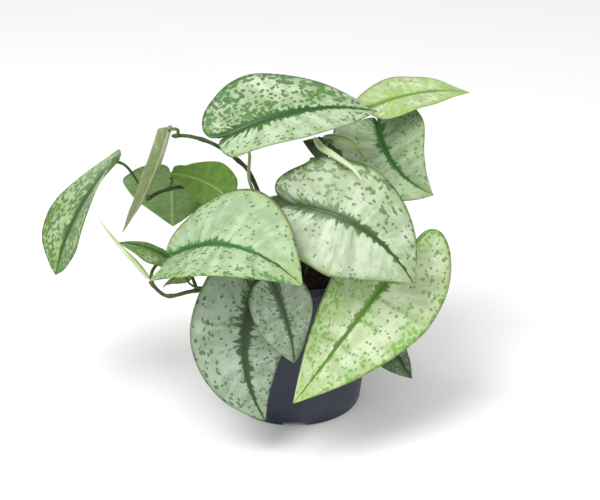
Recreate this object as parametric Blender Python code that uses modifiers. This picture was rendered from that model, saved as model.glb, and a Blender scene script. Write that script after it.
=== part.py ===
"""Satin pothos (Scindapsus pictus) in a black nursery pot.

Metres, +Z up. The origin is the centre of the pot's base, on the surface that it stands on.
The front of the plant looks along -Y. Each blade, petiole, vine and young leaf spear is its own
solid, and so are the pot and the potting soil. Pieces that touch keep a gap of 0.3 mm.
"""
import math

import bmesh
import bpy
from mathutils import Matrix, Vector

MM = 0.001
GAP = 0.3 * MM

# The pot: a 12 cm nursery pot with a rolled rim, on a foot ring with four gaps.
POT_HEIGHT = 107 * MM
POT_WALL = 1.2 * MM
RIM_RADIUS = 61 * MM
RIM_DEPTH = 6 * MM
MOUTH_RADIUS = 59 * MM
BASE_RADIUS = 44 * MM
FOOT_WIDTH = 3 * MM
FLOOR_LIFT = 4 * MM
CENTRE_PAD_RADIUS = 9 * MM
FOOT_GAPS = 4
FOOT_GAP_WIDTH = 16 * MM
FOOT_GAP_HEIGHT = 3.4 * MM
DRAIN_HOLES = 8
DRAIN_HOLE_RADIUS = 4.5 * MM
DRAIN_CIRCLE_RADIUS = 29 * MM
ROUND_STEPS = 40
SOIL_TOP = 94.6 * MM

# The plant: sizes that every blade and stem shares.
BLADE_THICKNESS = 1.0 * MM
BLADE_ROWS = 10
BLADE_COLUMNS = 4
VINE_RADIUS = 1.6 * MM
PETIOLE_RADIUS = 1.1 * MM
PETIOLE_POINTS = 9

# One half of a flat blade, from the notch where the petiole joins to the tip: how far along the
# blade's length, and how far out as a share of its half width.
BLADE_OUTLINE = (
    (0.00, 0.00),
    (-0.14, 0.06),
    (-0.18, 0.30),
    (-0.12, 0.63),
    (0.03, 0.91),
    (0.25, 1.00),
    (0.46, 0.86),
    (0.68, 0.59),
    (0.86, 0.28),
    (1.00, 0.00),
)
USUAL_BELLY = 0.25

# Secondary veins: where on the midrib each one starts, and how it bends forward to the margin.
VEIN_START = 2.0
VEIN_BEND = 1.3


def clear_scene():
    for old in list(bpy.data.objects):
        bpy.data.objects.remove(old)


def new_collection(name, parent=None):
    collection = bpy.data.collections.new(name)
    (parent or bpy.context.scene.collection).children.link(collection)
    return collection


def new_material(name, colour, roughness):
    material = bpy.data.materials.new(name)
    material.use_nodes = True
    shader = material.node_tree.nodes["Principled BSDF"]
    shader.inputs["Base Color"].default_value = (*colour, 1.0)
    shader.inputs["Roughness"].default_value = roughness
    shader.inputs["Metallic"].default_value = 0.0
    return material


clear_scene()
PLANT = new_collection("potted_satin_pothos")
CUTTERS = new_collection("cutters")
CUTTERS.hide_render = True

BLACK_PLASTIC = new_material("black_plastic", (0.018, 0.022, 0.035), 0.42)
POTTING_SOIL = new_material("potting_soil", (0.045, 0.028, 0.018), 0.95)
LEAF_SILVER = new_material("leaf_silver", (0.48, 0.60, 0.42), 0.45)
STEM_GREEN = new_material("stem_green", (0.20, 0.32, 0.08), 0.5)
SPEAR_PALE = new_material("spear_pale", (0.62, 0.70, 0.42), 0.5)


def adopt(obj, name, material, collection=PLANT):
    """Names an object, gives it its material and moves it to its collection."""
    obj.name = name
    obj.data.name = name
    obj.data.materials.clear()
    obj.data.materials.append(material)
    for old in list(obj.users_collection):
        old.objects.unlink(obj)
    collection.objects.link(obj)
    return obj


def point(place):
    """A place in millimetres as a vector in metres."""
    return Vector(place) * MM


def spline(points, share):
    """The point at a share, 0 to 1, of a smooth curve through the points."""
    last = len(points) - 1
    step = min(int(share * last), last - 1)
    u = share * last - step
    p0 = points[max(step - 1, 0)]
    p1 = points[step]
    p2 = points[step + 1]
    p3 = points[min(step + 2, last)]
    return 0.5 * (
        2 * p1
        + (p2 - p0) * u
        + (2 * p0 - 5 * p1 + 4 * p2 - p3) * u**2
        + (3 * p1 - p0 - 3 * p2 + p3) * u**3
    )


# ---------------------------------------------------------------- pot and soil


def turned(name, section, material):
    """A solid of revolution from a section of (radius, height) corners that starts at its top."""
    mesh = bpy.data.meshes.new(name)
    shape = bmesh.new()
    verts = [shape.verts.new((radius, 0, height)) for radius, height in section]
    for a, b in zip(verts, verts[1:] + verts[:1]):
        if max(a.co.x, b.co.x) > 0:
            shape.edges.new((a, b))
    shape.to_mesh(mesh)
    shape.free()
    obj = adopt(bpy.data.objects.new(name, mesh), name, material)
    screw = obj.modifiers.new("turn", "SCREW")
    screw.steps = ROUND_STEPS
    screw.render_steps = ROUND_STEPS
    screw.use_merge_vertices = True
    screw.merge_threshold = 0.01 * MM
    screw.use_normal_calculate = False
    return obj


def cut(obj, cutter):
    """Takes the cutter's shape away from the object."""
    cutter.display_type = "WIRE"
    cutter.hide_render = True
    boolean = obj.modifiers.new("cut", "BOOLEAN")
    boolean.operation = "DIFFERENCE"
    boolean.object = cutter


def wall_radius(height):
    """The pot's outer radius at a height on its tapered wall."""
    taper = (MOUTH_RADIUS - BASE_RADIUS) / (POT_HEIGHT - RIM_DEPTH)
    return BASE_RADIUS + taper * min(height, POT_HEIGHT - RIM_DEPTH)


def build_pot():
    rim_base = POT_HEIGHT - RIM_DEPTH
    floor_top = FLOOR_LIFT + POT_WALL
    pot = turned(
        "pot",
        (
            (MOUTH_RADIUS - POT_WALL, rim_base),
            (MOUTH_RADIUS - POT_WALL, POT_HEIGHT - 1 * MM),
            (MOUTH_RADIUS, POT_HEIGHT),
            (RIM_RADIUS - 1 * MM, POT_HEIGHT),
            (RIM_RADIUS, POT_HEIGHT - 1 * MM),
            (RIM_RADIUS - 0.4 * MM, rim_base),
            (MOUTH_RADIUS, rim_base),
            (wall_radius(8 * MM), 8 * MM),
            (BASE_RADIUS + 0.6 * MM, 2 * MM),
            (BASE_RADIUS - 0.6 * MM, 0),
            (BASE_RADIUS - FOOT_WIDTH, 0),
            (BASE_RADIUS - FOOT_WIDTH, FLOOR_LIFT),
            (CENTRE_PAD_RADIUS + 1 * MM, FLOOR_LIFT),
            (CENTRE_PAD_RADIUS, 0),
            (0, 0),
            (0, floor_top),
            (BASE_RADIUS - 2 * POT_WALL, floor_top),
            (wall_radius(8 * MM) - POT_WALL, 8 * MM),
        ),
        BLACK_PLASTIC,
    )
    for index in range(FOOT_GAPS):
        angle = math.radians(360 / FOOT_GAPS * index)
        bpy.ops.mesh.primitive_cube_add(size=1, rotation=(0, 0, angle))
        gap = adopt(bpy.context.object, f"foot_gap_{index + 1}", BLACK_PLASTIC, CUTTERS)
        gap.data.transform(Matrix.Diagonal((4 * FOOT_WIDTH, FOOT_GAP_WIDTH, 2 * FOOT_GAP_HEIGHT, 1)))
        gap.location = (BASE_RADIUS * math.cos(angle), BASE_RADIUS * math.sin(angle), 0)
        cut(pot, gap)
    for index in range(DRAIN_HOLES):
        angle = math.radians(360 / DRAIN_HOLES * (index + 0.5))
        bpy.ops.mesh.primitive_cylinder_add(vertices=16, radius=DRAIN_HOLE_RADIUS, depth=3 * POT_WALL)
        hole = adopt(bpy.context.object, f"drain_hole_{index + 1}", BLACK_PLASTIC, CUTTERS)
        hole.location = (
            DRAIN_CIRCLE_RADIUS * math.cos(angle),
            DRAIN_CIRCLE_RADIUS * math.sin(angle),
            FLOOR_LIFT + POT_WALL / 2,
        )
        cut(pot, hole)


def build_soil():
    floor = FLOOR_LIFT + POT_WALL + GAP
    inset = POT_WALL + 2 * GAP
    turned(
        "potting_soil",
        (
            (0, SOIL_TOP),
            (wall_radius(SOIL_TOP) - inset, SOIL_TOP),
            (wall_radius(9 * MM) - inset, 9 * MM),
            (BASE_RADIUS - 2 * POT_WALL - 2 * GAP, floor),
            (0, floor),
        ),
        POTTING_SOIL,
    )


# ---------------------------------------------------------------- vines, blades and petioles

OUTLINE_CURVE = [Vector((x, y, 0)) for x, y in BLADE_OUTLINE]


def tube(name, path, radius, material, taper=None):
    """A round stem along the points, with its ends closed."""
    curve = bpy.data.curves.new(name, "CURVE")
    curve.dimensions = "3D"
    curve.bevel_depth = radius
    curve.bevel_resolution = 1
    curve.use_fill_caps = True
    line = curve.splines.new("POLY")
    line.points.add(len(path) - 1)
    for index, (place, spot) in enumerate(zip(path, line.points)):
        spot.co = (*place, 1)
        spot.radius = taper(index / (len(path) - 1)) if taper else 1
    return adopt(bpy.data.objects.new(name, curve), name, material)


def vine(name, *places, radius=VINE_RADIUS):
    """A vine through the places, in millimetres. Its path is returned for the petioles."""
    through = [point(place) for place in places]
    steps = 3 * (len(places) - 1)
    path = [spline(through, index / steps) for index in range(steps + 1)]
    tube(name, path, radius, STEM_GREEN, taper=lambda share: 1 - 0.3 * share)
    return path


def spear(name, *places, radius):
    """A young leaf, still rolled: thickest near its foot and drawn out to a point."""
    through = [point(place) for place in places]
    steps = 3 * (len(places) - 1)
    path = [spline(through, index / steps) for index in range(steps + 1)]

    def rolled(share):
        return min(1, 0.6 + 2 * share) * (1 - 0.85 * share**2)

    tube(name, path, radius, SPEAR_PALE, taper=rolled)


class Blade:
    """The frame and the bent surface of one leaf blade, without its thickness.

    The blade runs from its notch, base, to its tip, and its upper side looks along face. Bow lifts
    the middle of the midrib towards the face and sweep moves it to the left. Fold raises both
    halves from the midrib like a half open book, and curl bends them on their way to the margin.
    Twist turns the blade about its midrib on the way to the tip, and nod bends the tip down.
    Uneven makes the left half wider than the right one. Lobes lengthens the two base lobes, left
    and right, and belly says how far along each half is widest.
    """

    def __init__(
        self, base, tip, face, width, bow=0, sweep=0, fold=0, curl=0, twist=0, nod=0, uneven=0,
        lobes=(1, 1), belly=(USUAL_BELLY, USUAL_BELLY),
    ):
        self.base = point(base)
        chord = point(tip) - self.base
        self.length = chord.length
        self.along = chord.normalized()
        face = Vector(face)
        self.up = (face - face.dot(self.along) * self.along).normalized()
        self.left = self.up.cross(self.along)
        self.half_width = width / 2 * MM
        self.bow = bow * MM
        self.sweep = sweep * MM
        self.nod = nod * MM
        self.fold = math.radians(fold)
        self.curl = math.radians(curl)
        self.twist = math.radians(twist)
        self.uneven = uneven
        self.lobes = lobes
        self.belly = belly

    def matrix(self):
        """Takes the blade's own frame, base at the origin and tip along +X, to its place."""
        axes = Matrix((self.along, self.left, self.up)).transposed()
        return Matrix.Translation(self.base) @ axes.to_4x4()

    def midrib(self, x):
        """The midrib's place and direction at a share of the blade's length."""
        arch = 4 * x * (1 - x) if x > 0 else 4 * x / (1 - 6 * x)
        slope = 4 * (1 - 2 * x) if x > 0 else 4 / (1 - 6 * x) ** 2
        late = max(x, 0) ** 3
        place = Vector((x * self.length, self.sweep * arch, self.bow * arch + self.nod * (x - late)))
        rise = self.bow * slope + self.nod * (1 - 3 * max(x, 0) ** 2)
        return place, Vector((self.length, self.sweep * slope, rise)).normalized()

    def notch_frame(self):
        """The plant's directions along the midrib and out of the face, at the notch."""
        turn = self.matrix().to_3x3()
        forward = self.midrib(0)[1]
        lift = (Vector((0, 0, 1)) - forward.z * forward).normalized()
        return turn @ forward, turn @ lift

    def surface(self, row, across):
        """The point at a row, 0 at the notch to 1 at the tip, and from the midrib, 0, to a margin, +-1."""
        edge = spline(OUTLINE_CURVE, row)
        out = abs(across)
        side = math.copysign(1, across)
        half = 0 if side > 0 else 1
        if edge.x < 0:
            end = edge.x * self.lobes[half]
        else:
            end = edge.x ** (math.log(self.belly[half]) / math.log(USUAL_BELLY))
        rib = row**VEIN_START
        x = rib + (end - rib) * out**VEIN_BEND
        reach = edge.y * out * self.half_width * (1 + side * self.uneven)
        place, forward = self.midrib(x)
        lift = (Vector((0, 0, 1)) - forward.z * forward).normalized()
        sideways = lift.cross(forward)
        bend = (self.curl if abs(self.curl) > 0.01 else 0.01) / self.half_width
        outward = (math.sin(self.fold + bend * reach) - math.sin(self.fold)) / bend
        upward = (math.cos(self.fold) - math.cos(self.fold + bend * reach)) / bend
        turn = Matrix.Rotation(self.twist * x, 3, forward)
        return place + turn @ (side * outward * sideways + upward * lift)


def leaf(name, **shape):
    """A blade as its own solid. The shape is in millimetres and degrees."""
    blade = Blade(**shape)
    bpy.ops.mesh.primitive_grid_add(x_subdivisions=BLADE_ROWS, y_subdivisions=2 * BLADE_COLUMNS, size=2)
    obj = adopt(bpy.context.object, name, LEAF_SILVER)
    for vert in obj.data.vertices:
        vert.co = blade.surface((vert.co.x + 1) / 2, vert.co.y)
    shape = bmesh.new()
    shape.from_mesh(obj.data)
    bmesh.ops.remove_doubles(shape, verts=shape.verts, dist=0.05 * MM)
    shape.to_mesh(obj.data)
    shape.free()
    obj.data.shade_smooth()
    obj.matrix_world = blade.matrix()
    shell = obj.modifiers.new("thickness", "SOLIDIFY")
    shell.thickness = BLADE_THICKNESS
    shell.offset = 0
    return blade


def petiole(name, stem, share, bend, blade, radius=PETIOLE_RADIUS, knee=1, past=None):
    """A leaf stalk from a share of the way along a vine, by way of a bend, to a blade's notch.

    Knee scales how far under the blade the stalk makes its last bend. Past is a second place that a
    long stalk passes through after its bend.
    """
    joint = spline(stem, share)
    growing = (spline(stem, min(share + 0.02, 1)) - spline(stem, max(share - 0.02, 0))).normalized()
    control = point(bend)
    leaving = (control - joint).normalized()
    slant = abs(leaving.dot(growing))
    clear = (VINE_RADIUS + 2 * GAP + radius * slant) / max(math.sqrt(1 - slant**2), 0.35)
    start = joint + clear * leaving
    forward, lift = blade.notch_frame()
    hang = knee * (forward * 0.06 * blade.length + lift * (0.08 * blade.length + 2 * MM))
    under = blade.base - hang
    end = blade.base - forward * 1.6 * MM - lift * 1.8 * MM
    path = []
    for index in range(PETIOLE_POINTS):
        u = index / (PETIOLE_POINTS - 1)
        v = 1 - u
        if past:
            path.append(spline([start, control, point(past), under, end], u))
        else:
            path.append(v**3 * start + 3 * u * v**2 * control + 3 * u**2 * v * under + u**3 * end)
    tube(name, path, radius, STEM_GREEN)


build_pot()
build_soil()

# Vines, from where they leave the soil.
arching_vine = vine(
    "vine_arching",
    (-12, 8, 96), (-18, 9, 127), (-28, 9, 156), (-36, 8, 167), (-51, 6, 179), (-66, 2, 186), (-77, 0, 187),
)
left_vine = vine(
    "vine_left",
    (-24, 16, 96), (-34, 24, 115), (-52, 27, 133), (-72, 22, 143), (-88, 14, 143), (-96, 8, 140),
)
low_vine = vine(
    "vine_low",
    (-26, -18, 96), (-34, -38, 114), (-44, -51, 116), (-53, -56, 109), (-66, -56, 105), (-80, -53, 101),
    (-90, -50, 109),
)
right_vine = vine("vine_right", (16, 12, 96), (22, 20, 123), (30, 32, 153), (39, 41, 171), (47, 44, 182))
front_vine = vine(
    "vine_front",
    (8, -14, 96), (14, -14, 123), (24, -11, 153), (29, -8, 175), (25, -8, 181), (20, -8, 185),
    (15, -9, 189),
)
back_vine = vine("vine_back", (4, 24, 96), (6, 36, 113), (14, 48, 121), (24, 58, 117))

# Blades that show from the front.
top = leaf(
    "leaf_top", base=(-40, -22, 196), tip=(52, 0, 203), face=(0.04, -0.42, 0.9), width=64, bow=11,
    fold=3, uneven=0.24, lobes=(0.85, 0.45), belly=(0.2, 0.4),
)
top_right = leaf(
    "leaf_top_right", base=(52, 24, 199), tip=(114, 38, 203), face=(0.1, -0.26, 0.96), width=40, bow=5,
    fold=5, lobes=(1, 0.5),
)
right_back = leaf(
    "leaf_right_back", base=(54, 32, 185), tip=(90, 6, 144), face=(-0.46, -0.6, 0.66), width=64,
    sweep=-8, bow=6, fold=15, lobes=(1, 0.4),
)
centre = leaf(
    "leaf_centre", base=(2, -46, 159), tip=(72, -72, 119), face=(0.09, -0.83, 0.55), width=72,
    bow=11, sweep=8, lobes=(1.25, 0.6), belly=(0.33, 0.42),
)
front_right = leaf(
    "leaf_front_right", base=(70, -35, 123), tip=(-1, -98, 50), face=(0.06, -0.93, 0.37), width=70,
    bow=6, uneven=0.13, lobes=(1.15, 0.7),
)
left_front = leaf(
    "leaf_left_front", base=(-72, -60, 133), tip=(5, -96, 129), face=(0.1, -0.42, 0.9), width=78,
    bow=13, nod=18, fold=7, uneven=0.15, lobes=(0.8, 0.3), belly=(0.42, 0.35),
)
bottom_left = leaf(
    "leaf_bottom_left", base=(-20, -63, 117), tip=(-18, -82, 28), face=(0.06, -0.91, 0.39), width=62,
    bow=4, sweep=-12, uneven=-0.1, lobes=(0.6, 0.5), belly=(0.28, 0.36),
)
bottom_middle = leaf(
    "leaf_bottom_middle", base=(-12, -76, 117), tip=(0, -80, 68), face=(0.42, -0.81, 0.4), width=41,
    bow=5,
)
far_left = leaf(
    "leaf_far_left", base=(-112, -5, 173), tip=(-154, -20, 99), face=(-0.87, 0.07, 0.48), width=56,
    bow=6, fold=7, twist=-45, uneven=-0.12, lobes=(0.2, 0.2), belly=(0.55, 0.6),
)
edge_left = leaf(
    "leaf_edge_left", base=(-80, 0, 192), tip=(-111, -12, 125), face=(-0.91, 0.28, 0.31), width=36,
    bow=-3, fold=5, lobes=(0.1, 0.1), belly=(0.4, 0.4),
)
green_back = leaf(
    "leaf_green_back", base=(-82, 32, 147), tip=(-86, 66, 95), face=(0, 0.8, 0.6), width=66, bow=4,
    lobes=(1.4, 1.4),
)
green_dome = leaf(
    "leaf_green_dome", base=(-42, 4, 142), tip=(-82, 12, 157), face=(0, 0.97, 0.25), width=40, bow=7,
    lobes=(0.4, 0.4),
)
low_right = leaf(
    "leaf_low_right", base=(52, -46, 82), tip=(75, -56, 43), face=(-0.4, -0.7, 0.6), width=30, bow=3,
    fold=24, uneven=-0.2,
)
small_left = leaf(
    "leaf_small_left", base=(-81, -39, 122), tip=(-110, -39, 131), face=(-0.22, 0, 0.98), width=28,
    bow=2, fold=-12,
)
centre_back = leaf(
    "leaf_centre_back", base=(20, -15, 192), tip=(43, -18, 179), face=(0.27, 0.1, 0.96), width=14,
    bow=5, lobes=(0.4, 0.4),
)
behind_left = leaf(
    "leaf_behind_left", base=(-38, -12, 134), tip=(-12, -24, 141), face=(0.2, -0.6, 0.78), width=32,
    bow=6, lobes=(0.4, 0.4),
)
curled_left = leaf(
    "leaf_curled_left", base=(-66, -58, 117), tip=(-80, -68, 114), face=(-0.3, 0.6, 0.75), width=15,
    bow=3, fold=-25,
)
peek = leaf(
    "leaf_peek", base=(22, 8, 174), tip=(5, 2, 183), face=(-0.2, -0.9, 0.4), width=16, bow=3,
    lobes=(0.4, 0.4),
)

# Blades at the back.
back_left = leaf(
    "leaf_back_left", base=(-38, 52, 115), tip=(-58, 92, 61), face=(-0.25, 0.7, 0.66), width=60, bow=8
)
back_middle = leaf(
    "leaf_back_middle", base=(2, 76, 107), tip=(-5, 104, 37), face=(0, 0.93, 0.36), width=62, bow=8
)
back_right = leaf(
    "leaf_back_right", base=(47, 57, 116), tip=(76, 86, 63), face=(0.35, 0.7, 0.62), width=52, bow=8
)
back_high = leaf(
    "leaf_back_high", base=(28, 44, 135), tip=(38, 94, 107), face=(0.1, 0.4, 0.91), width=62, bow=10
)
back_side = leaf(
    "leaf_back_side", base=(66, 20, 115), tip=(90, 24, 65), face=(0.85, 0.3, 0.42), width=52, bow=8
)

# Young leaves, still rolled.
spear(
    "spear_centre",
    (13, -13.6, 190), (17, -26, 189), (25, -38, 188), (35, -48, 184), (40, -56, 180), radius=2.4 * MM,
)
spear("spear_low", (-91, -50, 112), (-99, -48, 122), (-108, -46, 132), (-120, -42, 147), radius=2 * MM)

# Petioles, from their vine to the notch of their blade.
petiole("petiole_top", arching_vine, 0.15, (-28.5, -8, 159), top, knee=0.6, past=(-28.5, -19, 184))
petiole("petiole_edge_left", arching_vine, 0.95, (-71, -2, 192), edge_left, knee=0.55)
petiole("petiole_behind_left", arching_vine, 0.08, (-30, 4, 115), behind_left)
petiole("petiole_green_dome", left_vine, 0.22, (-44, -12, 129), green_dome)
petiole("petiole_green_back", left_vine, 0.72, (-80, 26, 149), green_back)
petiole("petiole_far_left", left_vine, 0.94, (-102, 4, 149), far_left)
petiole("petiole_small_left", low_vine, 0.96, (-93, -40, 115), small_left)
petiole("petiole_curled_left", low_vine, 0.5, (-63, -64, 110), curled_left, radius=0.8 * MM)
petiole("petiole_left_front", low_vine, 0.6, (-64, -50, 119), left_front)
petiole("petiole_bottom_left", low_vine, 0.3, (-36, -56, 127), bottom_left)
petiole("petiole_bottom_middle", low_vine, 0.1, (-8, -58, 144), bottom_middle, knee=0.4)
petiole("petiole_centre", front_vine, 0.35, (6, -24, 149), centre)
petiole("petiole_front_right", front_vine, 0.16, (50, -14, 125), front_right)
petiole("petiole_low_right", front_vine, 0.05, (62, -42, 143), low_right, knee=1.8)
petiole("petiole_centre_back", front_vine, 0.85, (21, -15, 184), centre_back, radius=0.7 * MM)
petiole("petiole_peek", right_vine, 0.55, (14, 22, 169), peek, radius=0.8 * MM)
petiole("petiole_right_back", right_vine, 0.93, (54, 46, 178), right_back)
petiole("petiole_top_right", right_vine, 0.8, (42, 54, 203), top_right)
petiole("petiole_back_high", right_vine, 0.26, (26, 32, 133), back_high)
petiole("petiole_back_side", right_vine, 0.12, (44, 16, 121), back_side)
petiole("petiole_back_left", back_vine, 0.3, (-14, 44, 121), back_left)
petiole("petiole_back_middle", back_vine, 0.6, (8, 60, 121), back_middle)
petiole("petiole_back_right", back_vine, 0.9, (34, 56, 114), back_right)
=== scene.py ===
"""Potted satin pothos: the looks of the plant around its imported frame.

Metres, +Z up, origin on the surface that the pot stands on. The front of the plant looks along -Y.
"""
import math
import random

import bmesh
import bpy
import numpy as np
import mathutils.noise
from mathutils import Matrix, Vector


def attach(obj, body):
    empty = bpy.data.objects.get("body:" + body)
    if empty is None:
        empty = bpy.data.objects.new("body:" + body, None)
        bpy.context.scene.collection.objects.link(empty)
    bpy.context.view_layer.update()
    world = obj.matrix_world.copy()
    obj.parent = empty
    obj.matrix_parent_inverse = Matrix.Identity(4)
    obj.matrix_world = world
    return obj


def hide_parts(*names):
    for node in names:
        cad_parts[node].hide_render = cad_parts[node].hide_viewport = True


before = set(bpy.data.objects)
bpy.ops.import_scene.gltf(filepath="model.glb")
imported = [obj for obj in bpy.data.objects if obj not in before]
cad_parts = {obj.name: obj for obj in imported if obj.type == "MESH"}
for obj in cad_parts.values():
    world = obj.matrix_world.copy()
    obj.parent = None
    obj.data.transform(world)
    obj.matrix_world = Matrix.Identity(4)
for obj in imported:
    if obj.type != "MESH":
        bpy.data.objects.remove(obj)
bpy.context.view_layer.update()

# ------------------------------------------------------------------ studio
# One broad soft box above and to the left of the plant, a weak fill from the right, and an even pale
# surround. The camera looks down on the front of the plant.
CAMERA_PLACE = (0.0034, -0.8157, 0.4880)
CAMERA_DIP = 25
CAMERA_LENS = 82.4
SENSOR_WIDTH = 36
SURROUND_LIGHT = 0.8
TOP_BOX = {"place": (-0.45, -0.55, 1.15), "aim": (0, -0.02, 0.12), "size": 0.7, "power": 12}
FILL_BOX = {"place": (0.9, -0.5, 0.5), "aim": (0, 0, 0.12), "size": 0.8, "power": 2.2}


def soft_box(name, place, aim, size, power):
    """A round lamp, its size across in metres, that shines from its place towards its aim."""
    lamp = bpy.data.lights.new(name, "AREA")
    lamp.shape = "DISK"
    lamp.size = size
    lamp.energy = power
    obj = bpy.data.objects.new(name, lamp)
    bpy.context.scene.collection.objects.link(obj)
    obj.location = place
    obj.rotation_euler = (Vector(aim) - Vector(place)).to_track_quat("-Z", "Y").to_euler()


def studio():
    scene = bpy.context.scene
    lens = bpy.data.cameras.new("camera")
    lens.lens = CAMERA_LENS
    lens.sensor_width = SENSOR_WIDTH
    lens.clip_start = 0.01
    camera = bpy.data.objects.new("camera", lens)
    scene.collection.objects.link(camera)
    camera.location = CAMERA_PLACE
    camera.rotation_euler = (math.radians(90 - CAMERA_DIP), 0, 0)
    scene.camera = camera
    scene.view_settings.view_transform = "Standard"
    surround = bpy.data.worlds.new("surround")
    surround.use_nodes = True
    sky = surround.node_tree.nodes["Background"]
    sky.inputs["Color"].default_value = (1, 1, 1, 1)
    sky.inputs["Strength"].default_value = SURROUND_LIGHT
    scene.world = surround
    soft_box("soft_box_top", **TOP_BOX)
    soft_box("soft_box_fill", **FILL_BOX)


studio()


# ------------------------------------------------------------------ floor
# Matt white card under the pot, large enough to run out of sight on every side.
FLOOR_HALF = 6.0
CARD_DULL = (0.93, 0.93, 0.93, 1)
CARD_BRIGHT = (0.96, 0.96, 0.96, 1)


def fill(tree, spot, value):
    """Gives a node's socket a value, or links it to another node's output."""
    if isinstance(value, bpy.types.NodeSocket):
        tree.links.new(value, spot)
    else:
        spot.default_value = value


def node(tree, kind, settings=(), **sockets):
    """A node with its settings and its sockets filled.

    A socket goes by its name, or by i and its number where several have the same name.
    """
    made = tree.nodes.new(kind)
    for key, value in dict(settings).items():
        setattr(made, key, value)
    for key, value in sockets.items():
        numbered = key[0] == "i" and key[1:].isdigit()
        fill(tree, made.inputs[int(key[1:]) if numbered else key.replace("_", " ")], value)
    return made


def blend(tree, share, first, second):
    """The first colour at share 0, the second at 1."""
    return node(tree, "ShaderNodeMix", {"data_type": "RGBA"}, i0=share, i6=first, i7=second).outputs[2]


def speckle(tree, place, scale, detail=3, roughness=0.55):
    """Cloudy noise, about 0.5 on average. The scale is how many clouds there are to one unit."""
    made = node(tree, "ShaderNodeTexNoise", Vector=place, Scale=scale, Detail=detail, Roughness=roughness)
    return made.outputs["Fac"]


def new_finish(name, specular, roughness=0.5):
    """A material with its node tree and its shader, which has this much mirror light and roughness."""
    material = bpy.data.materials.new(name)
    material.use_nodes = True
    shader = material.node_tree.nodes["Principled BSDF"]
    shader.inputs["Specular IOR Level"].default_value = specular
    shader.inputs["Roughness"].default_value = roughness
    return material, material.node_tree, shader


def object_place(tree):
    return node(tree, "ShaderNodeTexCoord").outputs["Object"]


def mesh_piece(name, points, faces, finishes):
    """A smooth-shaded piece from its points and faces. Finishes are its materials."""
    mesh = bpy.data.meshes.new(name)
    mesh.from_pydata([tuple(point) for point in points], [], faces)
    mesh.update()
    for finish in finishes:
        mesh.materials.append(finish)
    mesh.shade_smooth()
    piece = bpy.data.objects.new(name, mesh)
    bpy.context.scene.collection.objects.link(piece)
    return piece


def card_finish():
    card, tree, shader = new_finish("white_card", 0.1, 0.9)
    grain = speckle(tree, object_place(tree), 9)
    tint = blend(tree, grain, CARD_DULL, CARD_BRIGHT)
    tree.links.new(tint, shader.inputs["Base Color"])
    return card


floor = mesh_piece(
    "floor",
    [(x * FLOOR_HALF, y * FLOOR_HALF, 0) for x, y in ((-1, -1), (1, -1), (1, 1), (-1, 1))],
    [(0, 1, 2, 3)],
    [card_finish()],
)


# ------------------------------------------------------------------ pot
# A thin round nursery pot, injection moulded in black polypropylene. It has a rolled rim, a tapered
# wall with a faintly sunk panel round it, a foot ring with four gaps, and drain holes in its floor.
MM = 0.001
CM = 10 * MM
POT_HEIGHT = 107 * MM
RIM_RADIUS = 61 * MM
MOUTH_RADIUS = 59 * MM
BASE_RADIUS = 44 * MM
POT_WALL = 1.2 * MM
RIM_DEPTH = 6 * MM
LIP_ROUNDING = 1 * MM
LIP_STEPS = 8
PANEL_TOP = 84 * MM
PANEL_FOOT = 12 * MM
PANEL_DEPTH = 0.25 * MM
PANEL_EDGE = 0.4 * MM
FOOT_TOP = 8 * MM
FOOT_WIDTH = 3 * MM
FLOOR_LIFT = 4 * MM
PAD_RADIUS = 9 * MM
FOOT_GAPS = 4
FOOT_GAP_SIZE = (12 * MM, 16 * MM, 6.8 * MM)
DRAIN_HOLES = 8
DRAIN_RADIUS = 4.5 * MM
DRAIN_CIRCLE = 29 * MM
DRAIN_STEPS = 32
POT_STEPS = 144


def wall_radius(height):
    """The outer radius of the tapered wall, which stays straight from the rim's foot upward."""
    rim_base = POT_HEIGHT - RIM_DEPTH
    return BASE_RADIUS + (MOUTH_RADIUS - BASE_RADIUS) * min(height, rim_base) / rim_base


def pot_section():
    """(radius, height) corners of the wall, from inside the mouth over the rim and round to the floor."""
    rim_base = POT_HEIGHT - RIM_DEPTH
    middle = (RIM_RADIUS + MOUTH_RADIUS - POT_WALL) / 2
    half = (RIM_RADIUS - MOUTH_RADIUS + POT_WALL) / 2
    lip = []
    for step in range(LIP_STEPS + 1):
        angle = math.pi * step / LIP_STEPS
        rise = LIP_ROUNDING * math.sin(angle)
        lip.append((middle - half * math.cos(angle), POT_HEIGHT - LIP_ROUNDING + rise))
    floor_top = FLOOR_LIFT + POT_WALL
    return (
        [(MOUTH_RADIUS - POT_WALL, rim_base)]
        + lip
        + [
            (RIM_RADIUS - 0.3 * MM, rim_base + 0.5 * MM),
            (RIM_RADIUS - 0.7 * MM, rim_base),
            (MOUTH_RADIUS + 0.2 * MM, rim_base - 0.1 * MM),
            (wall_radius(rim_base - 2 * MM), rim_base - 2 * MM),
            (wall_radius(PANEL_TOP), PANEL_TOP),
            (wall_radius(PANEL_TOP - PANEL_EDGE) - PANEL_DEPTH, PANEL_TOP - PANEL_EDGE),
            (wall_radius(PANEL_FOOT) - PANEL_DEPTH, PANEL_FOOT),
            (wall_radius(PANEL_FOOT - PANEL_EDGE), PANEL_FOOT - PANEL_EDGE),
            (wall_radius(FOOT_TOP), FOOT_TOP),
            (BASE_RADIUS + 0.6 * MM, 2 * MM),
            (BASE_RADIUS + 0.1 * MM, 0.6 * MM),
            (BASE_RADIUS - 0.6 * MM, 0),
            (BASE_RADIUS - FOOT_WIDTH + 0.4 * MM, 0),
            (BASE_RADIUS - FOOT_WIDTH, 0.4 * MM),
            (BASE_RADIUS - FOOT_WIDTH, FLOOR_LIFT),
            (PAD_RADIUS + 1 * MM, FLOOR_LIFT),
            (PAD_RADIUS, 0),
            (0, 0),
            (0, floor_top),
            (BASE_RADIUS - 2 * POT_WALL, floor_top),
            (wall_radius(FOOT_TOP) - POT_WALL, FOOT_TOP),
        ]
    )


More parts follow.
